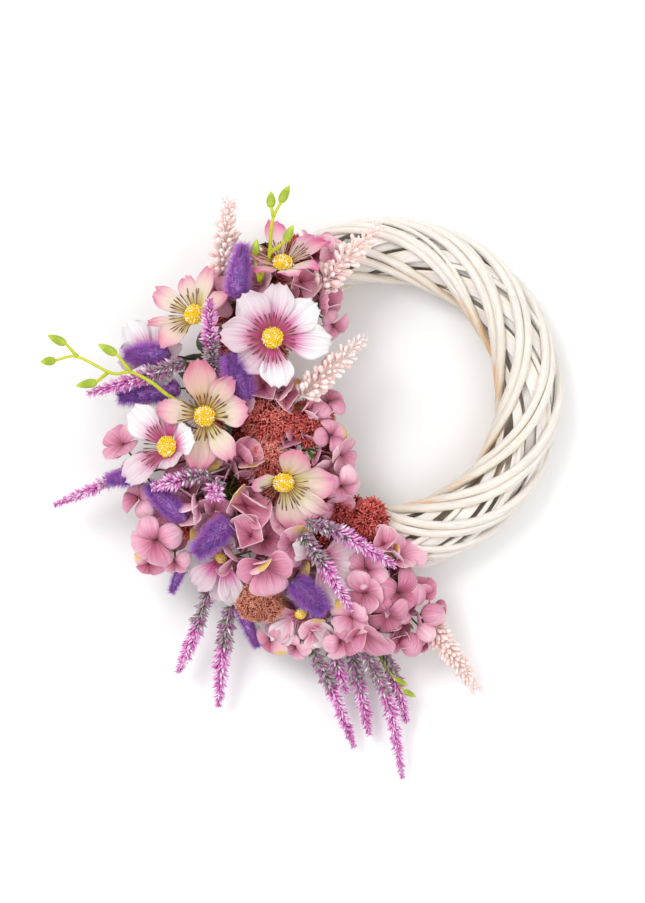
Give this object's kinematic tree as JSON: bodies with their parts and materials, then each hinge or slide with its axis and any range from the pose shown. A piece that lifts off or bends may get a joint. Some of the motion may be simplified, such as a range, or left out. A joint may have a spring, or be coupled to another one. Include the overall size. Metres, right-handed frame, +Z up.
{
  "type": "flower wreath",
  "caption": "Round wreath of twisted white willow rods with a crescent of daisy-like flowers, hydrangea florets, bunny tails, lavender, buds and moss round one side.",
  "frame": {"origin": "centre of the whole wreath's outline, in the plane that its back lies on", "axes": "+Z up, out of the face that shows its flowers; +Y towards the end of the crescent with the tall sprays, up when it hangs; +X towards the bare willow side"},
  "size_m": [0.4362, 0.4962, 0.125],
  "materials": {
    "willow": "white-washed peeled willow, warm tan where the paint is worn",
    "willow_under": "white-washed split willow strip",
    "willow_inner": "shaded grey-brown willow core",
    "moss": "dyed rose-pink preserved moss",
    "moss_clump": "dyed terracotta preserved moss",
    "white_petal": "pleated woven petal, white with a pink base",
    "cream_petal": "pleated woven petal, cream shading to pink at its edge",
    "pink_petal": "pleated woven petal, pink",
    "flower_dome": "yellow beaded dome with brown stamens",
    "hydrangea": "dusty pink woven floret",
    "lavender": "mauve grains on a grey-green stem",
    "pale_spike": "pale pink small bell florets",
    "bunny_tail": "purple dyed plush-haired seed head",
    "bud": "lime green bud on an olive stem"
  },
  "bodies": {
    "root": {"willow_inner_bundle": "willow_inner", "willow_under_strip_1": "willow_under", "willow_under_strip_2": "willow_under", "willow_under_strip_3": "willow_under", "willow_rod_1": "willow", "willow_rod_2": "willow", "willow_rod_3": "willow", "willow_rod_4": "willow", "moss_bed_upper": "moss", "moss_bed_middle": "moss", "moss_bed_lower": "moss", "moss_clump_lower": "moss_clump", "cosmos_front_centre": "flower_dome", "cosmos_left_centre": "flower_dome", "cosmos_middle_centre": "flower_dome", "cosmos_upper_left_centre": "flower_dome", "cosmos_top_centre": "flower_dome", "cosmos_lower_centre": "flower_dome", "bud_spray_top": "bud", "bud_spray_left": "bud", "bud_spray_bottom": "bud", "hydrangea_left": "hydrangea", "hydrangea_middle": "hydrangea", "hydrangea_low": "hydrangea", "hydrangea_inner": "hydrangea", "hydrangea_top": "hydrangea", "hydrangea_centre": "hydrangea", "hydrangea_right": "hydrangea", "hydrangea_bottom": "hydrangea", "hydrangea_buds": "hydrangea", "cosmos_front_petals": "white_petal", "cosmos_left_petals": "white_petal", "cosmos_middle_petals": "cream_petal", "cosmos_upper_left_petals": "cream_petal", "cosmos_top_petals": "pink_petal", "cosmos_lower_petals": "cream_petal", "lavender_upper": "lavender", "lavender_left": "lavender", "lavender_far_left": "lavender", "lavender_middle": "lavender", "lavender_low_left": "lavender", "lavender_low_middle": "lavender", "lavender_bottom": "lavender", "lavender_right": "lavender", "pale_spike_top": "pale_spike", "pale_spike_upper_right": "pale_spike", "pale_spike_inner": "pale_spike", "pale_spike_lower_right": "pale_spike", "bunny_tail_top": "bunny_tail", "bunny_tail_middle": "bunny_tail", "bunny_tails_left": "bunny_tail", "bunny_tail_lower_left": "bunny_tail", "bunny_tail_far_left": "bunny_tail", "bunny_tails_low": "bunny_tail", "bunny_tail_bottom": "bunny_tail", "bunny_tail_low_middle": "bunny_tail", "cosmos_low_left": "white_petal", "cosmos_far_left": "white_petal", "cosmos_low_right": "pink_petal", "cosmos_bottom": "pink_petal"}
  },
  "joints": []
}
